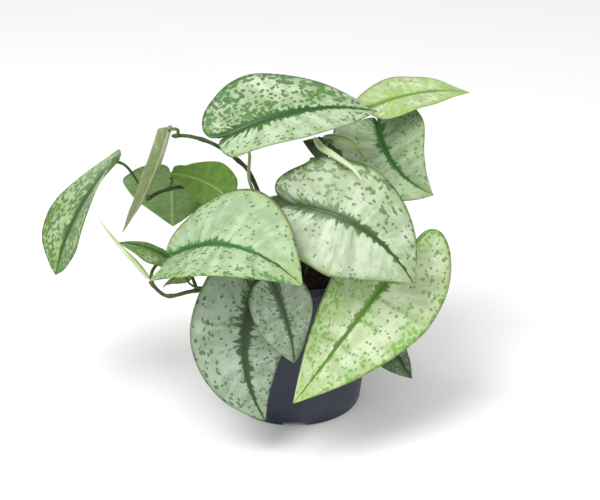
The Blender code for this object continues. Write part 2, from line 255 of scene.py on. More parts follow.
def turned(name, section, steps, finishes):
    """A closed solid of revolution. The section runs clockwise, from its top on the inner side."""
    shape = bmesh.new()
    corners = [shape.verts.new((radius, 0, height)) for radius, height in section]
    edges = [shape.edges.new(pair) for pair in zip(corners, corners[1:] + corners[:1])]
    bmesh.ops.spin(
        shape, geom=corners + edges, cent=(0, 0, 0), axis=(0, 0, 1), angle=2 * math.pi, steps=steps,
        use_merge=True,
    )
    bmesh.ops.remove_doubles(shape, verts=shape.verts, dist=0.01 * MM)
    bmesh.ops.dissolve_degenerate(shape, edges=shape.edges, dist=0.005 * MM)
    bmesh.ops.recalc_face_normals(shape, faces=shape.faces)
    mesh = bpy.data.meshes.new(name)
    shape.to_mesh(mesh)
    shape.free()
    for finish in finishes:
        mesh.materials.append(finish)
    piece = bpy.data.objects.new(name, mesh)
    bpy.context.scene.collection.objects.link(piece)
    return piece


def maths(tree, operation, *terms):
    made = node(tree, "ShaderNodeMath", {"operation": operation})
    for index, term in enumerate(terms):
        fill(tree, made.inputs[index], term)
    return made.outputs[0]


def plus(tree, first, second):
    return maths(tree, "ADD", first, second)


def minus(tree, first, second):
    return maths(tree, "SUBTRACT", first, second)


def times(tree, first, second):
    return maths(tree, "MULTIPLY", first, second)


def fade(tree, value, low, high):
    """0 where the value is low and 1 where it is high, smooth between. Low may be the larger one."""
    settings = {"interpolation_type": "SMOOTHSTEP"}
    return node(tree, "ShaderNodeMapRange", settings, Value=value, From_Min=low, From_Max=high).outputs[0]


def colour(*channels):
    """The light that a paint card's red, green and blue, 0 to 255 each, give off."""
    shares = [channel / 255 for channel in channels]
    light = [c / 12.92 if c <= 0.04045 else ((c + 0.055) / 1.055) ** 2.4 for c in shares]
    return (*light, 1)


def bump(tree, shader, height, strength, distance):
    made = node(tree, "ShaderNodeBump", Strength=strength, Distance=distance, Height=height)
    tree.links.new(made.outputs[0], shader.inputs["Normal"])


def stretched(tree, place, scale):
    """The place scaled along each axis, which draws a pattern out along the axis of the smallest scale."""
    return node(tree, "ShaderNodeMapping", Vector=place, Scale=scale).outputs[0]


def plastic_finish():
    """Black polypropylene: satin, with a fine moulded grain, faint scuffs and lighter grey patches near the
    foot.
    """
    plastic, tree, shader = new_finish("black_pot_plastic", 0.4)
    place = object_place(tree)
    height = node(tree, "ShaderNodeSeparateXYZ", Vector=place).outputs[2]
    cloud = speckle(tree, place, 22, 4)
    scuffs = speckle(tree, stretched(tree, place, (60, 60, 520)), 1, 3)
    # Lighter grey in cloudy patches over the lowest 26 mm of the wall, towards the foot.
    pale_foot_patches = times(tree, fade(tree, height, 26 * MM, 2 * MM), fade(tree, cloud, 0.42, 0.72))
    tint = blend(tree, cloud, colour(30, 34, 50), colour(44, 49, 66))
    tint = blend(tree, times(tree, pale_foot_patches, 0.35), tint, colour(96, 96, 100))
    tint = blend(tree, times(tree, fade(tree, scuffs, 0.62, 0.75), 0.25), tint, colour(74, 78, 92))
    tree.links.new(tint, shader.inputs["Base Color"])
    tree.links.new(plus(tree, 0.34, times(tree, scuffs, 0.22)), shader.inputs["Roughness"])
    grain = plus(tree, speckle(tree, place, 900, 2), times(tree, scuffs, 0.6))
    bump(tree, shader, grain, 0.12, 0.2 * MM)
    return plastic


def cut_away(piece, cutters):
    """Takes the cutters' shapes out of the piece for good."""
    for cutter in cutters:
        boolean = piece.modifiers.new("cut", "BOOLEAN")
        boolean.operation = "DIFFERENCE"
        boolean.solver = "EXACT"
        boolean.object = cutter
    graph = bpy.context.evaluated_depsgraph_get()
    mesh = bpy.data.meshes.new_from_object(piece.evaluated_get(graph))
    piece.modifiers.clear()
    piece.data = mesh
    for cutter in cutters:
        bpy.data.objects.remove(cutter)


def pot_cutters():
    """The shapes of the gaps in the foot and of the drain holes."""
    cutters = []
    for index in range(FOOT_GAPS):
        angle = 2 * math.pi * index / FOOT_GAPS
        bpy.ops.mesh.primitive_cube_add(size=1, rotation=(0, 0, angle))
        gap = bpy.context.object
        gap.scale = FOOT_GAP_SIZE
        gap.location = (BASE_RADIUS * math.cos(angle), BASE_RADIUS * math.sin(angle), 0)
        cutters.append(gap)
    for index in range(DRAIN_HOLES):
        angle = 2 * math.pi * (index + 0.5) / DRAIN_HOLES
        place = (DRAIN_CIRCLE * math.cos(angle), DRAIN_CIRCLE * math.sin(angle), FLOOR_LIFT + POT_WALL / 2)
        bpy.ops.mesh.primitive_cylinder_add(
            vertices=DRAIN_STEPS, radius=DRAIN_RADIUS, depth=3 * POT_WALL, location=place
        )
        cutters.append(bpy.context.object)
    return cutters


pot = turned("nursery_pot", pot_section(), POT_STEPS, [plastic_finish()])
cut_away(pot, pot_cutters())
pot.data.set_sharp_from_angle(angle=math.radians(35))
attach(pot, "root")
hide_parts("pot")


# ------------------------------------------------------------------ potting soil
# Peat-based mix with fine bark, filled to a finger's width below the rim. The body is one lumpy solid
# and the loose crumbs and bark chips lie scattered on it.
SOIL_TOP = 94.4 * MM
SOIL_RINGS = 44
SOIL_STEPS = 110
SOIL_LUMPS = 1.3 * MM
SOIL_GAP = 0.3 * MM
CRUMB_DENSITY = 330000
CRUMB_SEED = 11
CRUMB_RADIUS = 0.9 * MM
CRUMB_SMALLEST = (0.35, 0.3, 0.25)
CRUMB_LARGEST = (1.9, 1.1, 0.75)
CRUMB_TURN = (6.28, 6.28, 6.28)
CRUMB_MARGIN = 2 * MM


def lumpy(x, y, height):
    """The height with the lumps of loose soil added."""
    place = Vector((x, y, 0))
    coarse = mathutils.noise.noise(place * 90)
    fine = mathutils.noise.noise(place * 420)
    return height + SOIL_LUMPS * (0.7 * coarse + 0.35 * fine)


def soil_mesh():
    """Points and faces: a middle point, rings of the lumpy top, then the foot's ring and its one face."""
    floor_height = FLOOR_LIFT + POT_WALL + SOIL_GAP
    radius = wall_radius(SOIL_TOP) - POT_WALL - SOIL_GAP
    points = [(0, 0, lumpy(0, 0, SOIL_TOP))]
    faces = []
    for ring in range(1, SOIL_RINGS + 1):
        for step in range(SOIL_STEPS):
            angle = 2 * math.pi * step / SOIL_STEPS
            x = radius * ring / SOIL_RINGS * math.cos(angle)
            y = radius * ring / SOIL_RINGS * math.sin(angle)
            points.append((x, y, lumpy(x, y, SOIL_TOP)))
    foot_radius = wall_radius(floor_height) - POT_WALL - 4 * SOIL_GAP
    for step in range(SOIL_STEPS):
        angle = 2 * math.pi * step / SOIL_STEPS
        points.append((foot_radius * math.cos(angle), foot_radius * math.sin(angle), floor_height))
    for step in range(SOIL_STEPS):
        following = (step + 1) % SOIL_STEPS
        faces.append((0, 1 + step, 1 + following))
        for ring in range(SOIL_RINGS):
            inner = 1 + ring * SOIL_STEPS
            outer = inner + SOIL_STEPS
            faces.append((inner + step, outer + step, outer + following, inner + following))
    last = 1 + SOIL_RINGS * SOIL_STEPS
    faces.append(tuple(last + step for step in reversed(range(SOIL_STEPS))))
    return points, faces


def soil_finish():
    """Damp dark peat with lighter grit."""
    earth, tree, shader = new_finish("peat_and_bark", 0.15, 0.95)
    place = object_place(tree)
    cloud = speckle(tree, place, 120, 6, 0.65)
    grit = speckle(tree, place, 620, 4, 0.7)
    tint = blend(tree, fade(tree, cloud, 0.38, 0.62), colour(14, 11, 9), colour(38, 29, 22))
    tint = blend(tree, fade(tree, grit, 0.56, 0.7), tint, colour(58, 44, 33))
    tree.links.new(tint, shader.inputs["Base Color"])
    bump(tree, shader, grit, 0.8, 0.5 * MM)
    return earth


def bark_finish():
    """Chips of brown bark with drawn out fibres."""
    bark, tree, shader = new_finish("bark_crumbs", 0.2, 0.9)
    place = object_place(tree)
    cloud = speckle(tree, place, 260, 4, 0.6)
    fibres = speckle(tree, stretched(tree, place, (300, 900, 300)), 1, 3)
    tint = blend(tree, fade(tree, cloud, 0.35, 0.65), colour(24, 18, 13), colour(66, 49, 35))
    tint = blend(tree, fade(tree, fibres, 0.55, 0.7), tint, colour(58, 40, 27))
    tree.links.new(tint, shader.inputs["Base Color"])
    bump(tree, shader, fibres, 0.6, 0.3 * MM)
    return bark


def crumb_scatter():
    """Geometry nodes: crumbs of random size and turn, scattered over the faces they are given."""
    tree = bpy.data.node_groups.new("crumb_scatter", "GeometryNodeTree")
    face = tree.interface
    face.new_socket("Ground", in_out="INPUT", socket_type="NodeSocketGeometry")
    density = face.new_socket("Density", in_out="INPUT", socket_type="NodeSocketFloat")
    seed = face.new_socket("Seed", in_out="INPUT", socket_type="NodeSocketInt")
    finish = face.new_socket("Finish", in_out="INPUT", socket_type="NodeSocketMaterial")
    face.new_socket("Crumbs", in_out="OUTPUT", socket_type="NodeSocketGeometry")
    given = tree.nodes.new("NodeGroupInput")
    scatter = node(
        tree, "GeometryNodeDistributePointsOnFaces", Mesh=given.outputs["Ground"],
        Density=given.outputs["Density"], Seed=given.outputs["Seed"],
    )
    crumb = node(tree, "GeometryNodeMeshIcoSphere", Radius=CRUMB_RADIUS, Subdivisions=1)
    vectors = {"data_type": "FLOAT_VECTOR"}
    turn = node(tree, "FunctionNodeRandomValue", vectors, i1=CRUMB_TURN, i8=given.outputs["Seed"])
    size = node(tree, "FunctionNodeRandomValue", vectors, i0=CRUMB_SMALLEST, i1=CRUMB_LARGEST)
    place = node(
        tree, "GeometryNodeInstanceOnPoints", Points=scatter.outputs["Points"],
        Instance=crumb.outputs["Mesh"], Rotation=turn.outputs["Value"], Scale=size.outputs["Value"],
    )
    real = node(tree, "GeometryNodeRealizeInstances", Geometry=place.outputs["Instances"])
    shown = node(
        tree, "GeometryNodeSetMaterial", Geometry=real.outputs["Geometry"], Material=given.outputs["Finish"]
    )
    tree.links.new(shown.outputs["Geometry"], tree.nodes.new("NodeGroupOutput").inputs["Crumbs"])
    return tree, density.identifier, seed.identifier, finish.identifier


def crumbs_on(points, faces):
    """The scattered crumbs as a plain mesh piece, lying on the ground that the points and faces make."""
    bark = bark_finish()
    ground = mesh_piece("soil_crumbs", points, faces, [bark])
    tree, density, seed, finish = crumb_scatter()
    modifier = ground.modifiers.new("crumbs", "NODES")
    modifier.node_group = tree
    modifier[density] = CRUMB_DENSITY
    modifier[seed] = CRUMB_SEED
    modifier[finish] = bark
    graph = bpy.context.evaluated_depsgraph_get()
    mesh = bpy.data.meshes.new_from_object(ground.evaluated_get(graph))
    ground.modifiers.clear()
    ground.data = mesh
    return ground


soil_points, soil_faces = soil_mesh()
soil = mesh_piece("soil_body", soil_points, soil_faces, [soil_finish()])
soil.data.set_sharp_from_angle(angle=math.radians(40))
top_count = 1 + SOIL_RINGS * SOIL_STEPS
top_faces = [face for face in soil_faces if max(face) < top_count]
inner_radius = wall_radius(SOIL_TOP) - POT_WALL
reach = (inner_radius - CRUMB_MARGIN) / (inner_radius - SOIL_GAP)
crumbs = crumbs_on([(x * reach, y * reach, z) for x, y, z in soil_points[:top_count]], top_faces)
for piece in (soil, crumbs):
    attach(piece, "root")
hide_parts("potting_soil")


# ------------------------------------------------------------------ vines
# Six juicy green stems come out of the soil. Each swells at the joints where leaf stalks leave it, with
# a narrow waist just past every joint, and thins towards its end.
VINE_RADIUS = 1.6 * MM
STEM_SIDES = 16
VINE_STEPS = 9
VINE_THINNING = 0.3
JOINT_LENGTH = 0.022
JOINT_SWELLING = 0.28
WAIST_OFFSET = 0.035
WAIST_LENGTH = 0.012
WAIST_DEPTH = 0.08
FIRST_DOME = 0.85
LAST_DOME = 0.45
DOME_LENGTH = 0.6
GROOVE_SHARPNESS = 6


def point(place):
    """A place in millimetres as a vector in metres."""
    return Vector(place) * MM


def spline(points, share):
    """The point at a share, 0 to 1, of a smooth curve through the points."""
    last = len(points) - 1
    step = min(int(share * last), last - 1)
    u = share * last - step
    p0 = points[max(step - 1, 0)]
    p1 = points[step]
    p2 = points[step + 1]
    p3 = points[min(step + 2, last)]
    return 0.5 * (
        2 * p1
        + (p2 - p0) * u
        + (2 * p0 - 5 * p1 + 4 * p2 - p3) * u**2
        + (3 * p1 - p0 - 3 * p2 + p3) * u**3
    )


def swept(name, path, radius_at, finish, groove=0.0):
    """A round stem along the path with domed ends. A groove, a share of its radius, runs along its top."""
    count = len(path)
    shaft = [(place, index / (count - 1), 1) for index, place in enumerate(path)]
    stations = [(path[0], 0, FIRST_DOME), *shaft, (path[-1], 1, LAST_DOME)]
    aside = None
    points, faces, along = [], [], []
    travelled = 0.0
    for index, (place, share, size) in enumerate(stations):
        before = path[max(min(index - 1, count - 1) - 1, 0)]
        after = path[min(max(index - 1, 0) + 1, count - 1)]
        forward = (after - before).normalized()
        if aside is None:
            aside = Vector((0, 0, 1)).cross(forward)
            aside = aside.normalized() if aside.length > 0.1 else Vector((1, 0, 0))
        aside = (aside - aside.dot(forward) * forward).normalized()
        up = forward.cross(aside)
        radius = radius_at(share)
        push = 0.0
        if index == 0:
            push = -DOME_LENGTH * radius
        elif index == len(stations) - 1:
            push = DOME_LENGTH * radius
        if index > 0:
            travelled += (place - stations[index - 1][0]).length
        for side in range(STEM_SIDES):
            angle = 2 * math.pi * side / STEM_SIDES
            dent = 1 - groove * max(0.0, math.cos(angle)) ** GROOVE_SHARPNESS
            spoke = math.cos(angle) * up + math.sin(angle) * aside
            points.append(place + forward * push + spoke * radius * size * dent)
            along.append((travelled / CM, side / STEM_SIDES))
    for ring in range(len(stations) - 1):
        for side in range(STEM_SIDES):
            following = (side + 1) % STEM_SIDES
            a, b = ring * STEM_SIDES + side, ring * STEM_SIDES + following
            faces.append((a, a + STEM_SIDES, b + STEM_SIDES, b))
    last = (len(stations) - 1) * STEM_SIDES
    faces.append(tuple(range(STEM_SIDES)))
    faces.append(tuple(last + side for side in reversed(range(STEM_SIDES))))
    piece = mesh_piece(name, points, faces, [finish])
    layer = piece.data.uv_layers.new(name="along")
    for loop in piece.data.loops:
        layer.data[loop.index].uv = along[loop.vertex_index]
    face_out(piece)
    return piece


def face_out(piece):
    """Turns all faces of a closed piece outward."""
    shape = bmesh.new()
    shape.from_mesh(piece.data)
    bmesh.ops.recalc_face_normals(shape, faces=shape.faces)
    shape.to_mesh(piece.data)
    shape.free()


def stem_finish(name, deep, fresh, pale, roughness=0.42):
    """Fleshy stem skin: deep colour in long streaks over the fresh one, with pale warts."""
    skin, tree, shader = new_finish(name, 0.4, roughness)
    along = node(tree, "ShaderNodeUVMap", {"uv_map": "along"}).outputs[0]
    place = object_place(tree)
    streaks = speckle(tree, stretched(tree, along, (0.8, 9, 1)), 1, 3)
    cloud = speckle(tree, place, 70, 3)
    warts = node(tree, "ShaderNodeTexVoronoi", Vector=place, Scale=900).outputs["Distance"]
    mottle = plus(tree, times(tree, streaks, 0.6), times(tree, cloud, 0.5))
    tint = blend(tree, fade(tree, mottle, 0.42, 0.68), deep, fresh)
    tint = blend(tree, times(tree, fade(tree, warts, 0.25, 0.12), 0.45), tint, pale)
    tree.links.new(tint, shader.inputs["Base Color"])
    bump(tree, shader, minus(tree, streaks, times(tree, warts, 0.4)), 0.3, 0.15 * MM)
    return skin


# The vine skin's deep and fresh colours are darkened: painted shade, for the vines lying under the leaves.
SHADE_DARKENED_VINE_SKIN = stem_finish("shade_darkened_vine_skin", colour(36, 48, 20), colour(76, 98, 38), colour(120, 132, 76), 0.5)


def vine(name, *places, joints=()):
    """A vine through the places, in millimetres, swollen at the joints, which are shares of its length."""
    through = [point(place) for place in places]
    steps = VINE_STEPS * (len(places) - 1)
    path = [spline(through, index / steps) for index in range(steps + 1)]

    def radius_at(share):
        swelling = sum(math.exp(-(((share - joint) / JOINT_LENGTH) ** 2)) for joint in joints)
        waist = sum(math.exp(-(((share - joint - WAIST_OFFSET) / WAIST_LENGTH) ** 2)) for joint in joints)
        thinning = 1 - VINE_THINNING * share
        return VINE_RADIUS * thinning * (1 + JOINT_SWELLING * swelling - WAIST_DEPTH * waist)

    piece = swept(name.replace("vine_", "runner_"), path, radius_at, SHADE_DARKENED_VINE_SKIN)
    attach(piece, "root")
    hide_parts(name)
    return through


arching_vine = vine(
    "vine_arching",
    (-12, 8, 96), (-18, 9, 127), (-28, 9, 156), (-36, 8, 167), (-51, 6, 179), (-66, 2, 186), (-77, 0, 187),
    joints=(0.08, 0.22, 0.5, 0.75, 0.96),
)
left_vine = vine(
    "vine_left",
    (-24, 16, 96), (-34, 24, 115), (-52, 27, 133), (-72, 22, 143), (-88, 14, 143), (-96, 8, 140),
    joints=(0.22, 0.46, 0.72, 0.94),
)
low_vine = vine(
    "vine_low",
    (-26, -18, 96), (-34, -38, 114), (-44, -51, 116), (-53, -56, 109), (-66, -56, 105), (-80, -53, 101),
    (-90, -50, 109),
    joints=(0.1, 0.3, 0.5, 0.6, 0.8, 0.96),
)
right_vine = vine(
    "vine_right", (16, 12, 96), (22, 20, 123), (30, 32, 153), (39, 41, 171), (47, 44, 182),
    joints=(0.12, 0.3, 0.55, 0.8, 0.96),
)
front_vine = vine(
    "vine_front",
    (8, -14, 96), (14, -14, 123), (24, -11, 153), (29, -8, 175), (25, -8, 181), (20, -8, 185), (15, -9, 189),
    joints=(0.05, 0.16, 0.35, 0.6, 0.93),
)
back_vine = vine(
    "vine_back", (4, 24, 96), (6, 36, 113), (14, 48, 121), (24, 58, 117), joints=(0.3, 0.6, 0.9)
)


# ------------------------------------------------------------------ leaves
# Thick, soft blades: heart-shaped and lopsided, hollowed along the midrib and lightly quilted between
# the side veins. Air under the skin silvers the upper side between its green flecks, the band along
# the midrib and the margin. The underside is plain, with a raised midrib.
LEAF_THICKNESS = 0.7 * MM
LEAF_ROWS = 64
LEAF_COLUMNS = 18
SIDE_VEINS = 9
GROOVE_DEPTH = 0.5 * MM
GROOVE_WIDTH = 0.8 * MM
RIDGE_HEIGHT = 0.9 * MM
RIDGE_WIDTH = 1.2 * GROOVE_WIDTH
QUILTING = 0.3 * MM
RIPPLES = (1.6, 2.7, 4.3)
BLADE_OUTLINE = (
    (0.00, 0.00),
    (-0.14, 0.06),
    (-0.18, 0.30),
    (-0.12, 0.63),
    (0.03, 0.91),
    (0.25, 1.00),
    (0.46, 0.86),
    (0.68, 0.59),
    (0.86, 0.28),
    (1.00, 0.00),
)
USUAL_BELLY = 0.25
CUPPING = 0.01
VEIN_START = 2.0
VEIN_BEND = 1.3
COLUMN_CROWDING = 1.35
FLECKS_PER_CM = 3.3
BAND_SPREAD = 1.45
SEED_SPREAD = 7.3
OUTLINE_CURVE = [Vector((x, y, 0)) for x, y in BLADE_OUTLINE]


class Blade:
    """The bent surface of one blade, from its notch, base, to its tip, with its upper side towards face.

    Bow lifts the middle of the midrib towards the face and sweep moves it to the left. Fold raises
    both halves like a half open book. Twist turns the blade about its midrib on the way to the tip,
    and nod bends the tip down. Uneven makes the left half wider than the right. Lobes lengthens the
    base lobes, left and right, and belly says how far along each half is widest.
    """

    def __init__(
        self, base, tip, face, width, bow=0, sweep=0, fold=0, twist=0, nod=0, uneven=0, lobes=(1, 1),
        belly=(USUAL_BELLY, USUAL_BELLY),
    ):
        self.base = point(base)
        chord = point(tip) - self.base
        self.length = chord.length
        self.along = chord.normalized()
        face = Vector(face)
        self.up = (face - face.dot(self.along) * self.along).normalized()
        self.left = self.up.cross(self.along)
        self.half_width = width / 2 * MM
        self.bow = bow * MM
        self.sweep = sweep * MM
        self.nod = nod * MM
        self.fold = math.radians(fold)
        self.twist = math.radians(twist)
        self.uneven = uneven
        self.lobes = lobes
        self.belly = belly

    def matrix(self):
        """Takes the blade's own frame, base at the origin and tip along +X, to its place."""
        axes = Matrix((self.along, self.left, self.up)).transposed()
        return Matrix.Translation(self.base) @ axes.to_4x4()

    def midrib(self, x):
        """The midrib's place and direction at a share of the blade's length."""
        arch = 4 * x * (1 - x) if x > 0 else 4 * x / (1 - 6 * x)
        slope = 4 * (1 - 2 * x) if x > 0 else 4 / (1 - 6 * x) ** 2
        late = max(x, 0) ** 3
        place = Vector((x * self.length, self.sweep * arch, self.bow * arch + self.nod * (x - late)))
        rise = self.bow * slope + self.nod * (1 - 3 * max(x, 0) ** 2)
        return place, Vector((self.length, self.sweep * slope, rise)).normalized()

    def notch_frame(self):
        """The plant's directions along the midrib and out of the face, at the notch."""
        turn = self.matrix().to_3x3()
        forward = self.midrib(0)[1]
        lift = (Vector((0, 0, 1)) - forward.z * forward).normalized()
        return turn @ forward, turn @ lift

    def flat(self, row, across):
        """How far along, as a share of the length, and how far out the blade reaches, laid flat."""
        edge = spline(OUTLINE_CURVE, row)
        out = abs(across)
        side = math.copysign(1, across)
        half = 0 if side > 0 else 1
        if edge.x < 0:
            end = edge.x * self.lobes[half]
        else:
            end = edge.x ** (math.log(self.belly[half]) / math.log(USUAL_BELLY))
        rib = row**VEIN_START
        x = rib + (end - rib) * out**VEIN_BEND
        return x, edge.y * out * self.half_width * (1 + side * self.uneven)

    def surface(self, row, across):
        """The point at a row, 0 at the notch to 1 at the tip, and from the midrib, 0, to a margin, +-1."""
        x, reach = self.flat(row, across)
        side = math.copysign(1, across)
        place, forward = self.midrib(x)
        lift = (Vector((0, 0, 1)) - forward.z * forward).normalized()
        sideways = lift.cross(forward)
        bend = CUPPING / self.half_width
        outward = (math.sin(self.fold + bend * reach) - math.sin(self.fold)) / bend
        upward = (math.cos(self.fold) - math.cos(self.fold + bend * reach)) / bend
        turn = Matrix.Rotation(self.twist * x, 3, forward)
        return place + turn @ (side * outward * sideways + upward * lift)


def tuned(tree, paint, value, saturation=1):
    """The paint made lighter or darker and more or less vivid: both are 1 where it stays as it is."""
    made = node(tree, "ShaderNodeHueSaturation", Value=value, Saturation=saturation, Color=paint)
    return made.outputs[0]


def streaks_on(tree, row, across, seed, per_row, per_across, detail=3):
    """Noise that is drawn out along the side veins. The two counts are its features on the way."""
    place = node(
        tree, "ShaderNodeCombineXYZ", X=times(tree, row, per_row), Y=times(tree, across, per_across),
        Z=times(tree, seed, SEED_SPREAD),
    ).outputs[0]
    return speckle(tree, place, 1, detail)


def vein_pattern(tree):
    """What both sides of a blade share: row, across, place laid flat, distance from the rib, seed, veins."""
    net = node(tree, "ShaderNodeUVMap", {"uv_map": "veins"}).outputs[0]
    flat = node(tree, "ShaderNodeUVMap", {"uv_map": "flat"}).outputs[0]
    row, across = node(tree, "ShaderNodeSeparateXYZ", Vector=net).outputs[:2]
    from_rib = maths(tree, "ABSOLUTE", node(tree, "ShaderNodeSeparateXYZ", Vector=flat).outputs[1])
    seed = node(tree, "ShaderNodeAttribute", {"attribute_name": "seed"}).outputs["Fac"]
    wander = times(tree, minus(tree, streaks_on(tree, row, across, seed, 3, 2), 0.5), 0.5)
    phase = plus(tree, times(tree, row, SIDE_VEINS), wander)
    from_vein = maths(tree, "ABSOLUTE", minus(tree, maths(tree, "FRACT", phase), 0.5))
    return row, across, flat, from_rib, seed, fade(tree, from_vein, 0.40, 0.5)


def painted(tree, name):
    """A colour that the blade's mesh carries."""
    return node(tree, "ShaderNodeAttribute", {"attribute_name": name}).outputs["Color"]


def three_shares(tree, name):
    """Three numbers that the blade's mesh carries as one colour."""
    return node(tree, "ShaderNodeSeparateColor", Color=painted(tree, name)).outputs[:3]


def upper_finish():
    """Silver skin with green flecks, a feathered green band along the midrib, and a green margin.
    Painted shade darkens the silver where the flecks are dense.
    """
    side, tree, shader = new_finish("leaf_upper_side", 0.35)
    row, across, flat, from_rib, seed, veins = vein_pattern(tree)
    left_flecks_and_shade, right_flecks_and_shade, band_width = three_shares(tree, "marks")
    rim_width, early_fade, line_strength = three_shares(tree, "pattern")
    out = maths(tree, "ABSOLUTE", across)
    on_left = fade(tree, across, -0.04, 0.04)
    flecks_and_shade = node(tree, "ShaderNodeMix", i0=on_left, i2=right_flecks_and_shade, i3=left_flecks_and_shade).outputs[0]
    flecks_and_shade = minus(tree, flecks_and_shade, times(tree, times(tree, row, early_fade), 1.2))

    patches = streaks_on(tree, row, across, seed, 6, 2.5, 1)
    dots = streaks_on(tree, row, across, seed, 50, 18, 0)
    spots = streaks_on(tree, row, plus(tree, across, 4), seed, 32, 9, 1)
    stripes = streaks_on(tree, row, across, seed, 24, 1.1, 2)
    side_turned = plus(tree, times(tree, on_left, 9), times(tree, across, 2.2))
    strokes = streaks_on(tree, row, side_turned, seed, 44, 1, 2)

    level = plus(tree, times(tree, flecks_and_shade, 0.26), times(tree, patches, 0.28))
    level = plus(tree, level, times(tree, out, 0.1))
    cells = node(tree, "ShaderNodeTexVoronoi", Vector=flat, Scale=FLECKS_PER_CM, Randomness=0.9)
    ragged_cells = plus(tree, cells.outputs["Distance"], times(tree, minus(tree, dots, 0.5), 0.8))
    size = times(tree, minus(tree, level, 0.15), 2.0)
    small = fade(tree, ragged_cells, plus(tree, size, 0.07), minus(tree, size, 0.05))
    large = fade(tree, plus(tree, spots, level), 0.99, 1.09)
    flecks = maths(tree, "MAXIMUM", times(tree, small, 0.9), large)

    taper = minus(tree, 1.04, times(tree, row, row))
    near_rib = times(tree, band_width, times(tree, taper, BAND_SPREAD))
    closeness = maths(tree, "POWER", 1.75, times(tree, maths(tree, "DIVIDE", from_rib, near_rib), -1))
    feather = fade(tree, plus(tree, strokes, times(tree, closeness, 0.7)), 0.80, 0.92)
    core = fade(tree, from_rib, times(tree, near_rib, 1.1), times(tree, near_rib, 0.3))
    band = maths(tree, "MAXIMUM", core, feather)

    edge = maths(tree, "MAXIMUM", out, times(tree, row, 1.02))
    edge = minus(tree, plus(tree, edge, times(tree, minus(tree, spots, 0.5), 0.3)), 1)
    rim = times(tree, fade(tree, plus(tree, edge, rim_width), -0.08, 0.08), 0.8)
    lines = times(tree, times(tree, veins, fade(tree, out, 0.8, 0.1)), line_strength)
    lines = times(tree, lines, fade(tree, spots, 0.35, 0.6))

    cloud = speckle(tree, flat, 1.3, 3)
    glint = speckle(tree, flat, 26, 2)
    silver, green, margin = painted(tree, "silver"), painted(tree, "green"), painted(tree, "margin")
    light = tuned(tree, silver, 0.86, 0.72)
    dull = tuned(tree, silver, 0.6, 0.95)
    deep = tuned(tree, green, 0.5, 0.95)
    fresh = tuned(tree, green, 1.0, 0.97)
    uneven = plus(tree, times(tree, cloud, 0.4), times(tree, stripes, 0.6))
    pale = blend(tree, fade(tree, uneven, 0.38, 0.62), dull, light)
    pale = blend(tree, times(tree, fade(tree, glint, 0.55, 0.75), 0.25), pale, light)
    leafy = blend(tree, fade(tree, patches, 0.25, 0.6), deep, fresh)
    # Painted shade: where the flecks are dense and the patches high, the silver turns towards a dark margin
    # green.
    shaded = times(tree, times(tree, flecks_and_shade, fade(tree, patches, 0.3, 0.6)), 0.75)
    tint = blend(tree, shaded, pale, tuned(tree, margin, 0.62, 0.9))
    tint = blend(tree, lines, tint, leafy)
    tint = blend(tree, rim, tint, tuned(tree, margin, 0.75, 0.8))
    tint = blend(tree, times(tree, flecks, 0.9), tint, leafy)
    tint = blend(tree, band, tint, leafy)
    tint = blend(tree, core, tint, deep)
    tree.links.new(tint, shader.inputs["Base Color"])

    plain = maths(tree, "MAXIMUM", maths(tree, "MAXIMUM", flecks, band), rim)
    gloss = node(tree, "ShaderNodeMix", i0=plain, i2=0.5, i3=0.36).outputs[0]
    tree.links.new(gloss, shader.inputs["Roughness"])
    height = minus(tree, times(tree, glint, 0.35), times(tree, plain, 0.25))
    height = minus(tree, height, times(tree, veins, 0.8))
    bump(tree, shader, height, 0.35, 0.25 * MM)
    return side


def lower_finish():
    """Plain green underside with a fine grain, paler along its veins and midrib."""
    side, tree, shader = new_finish("leaf_lower_side", 0.35, 0.45)
    flat, from_rib, _, veins = vein_pattern(tree)[2:]
    under = painted(tree, "under")
    cloud = speckle(tree, flat, 1.6, 4)
    cells = speckle(tree, flat, 30, 2)
    light = tuned(tree, under, 1.35, 0.85)
    tint = blend(tree, fade(tree, cloud, 0.35, 0.65), tuned(tree, under, 0.75), under)
    tint = blend(tree, times(tree, fade(tree, cells, 0.5, 0.7), 0.3), tint, light)
    tint = blend(tree, times(tree, veins, 0.45), tint, light)
    tint = blend(tree, fade(tree, from_rib, 0.13, 0.06), tint, light)
    tree.links.new(tint, shader.inputs["Base Color"])
    bump(tree, shader, plus(tree, cells, times(tree, veins, 1.5)), 0.35, 0.2 * MM)
    return side


LEAF_SIDES = [upper_finish(), lower_finish()]


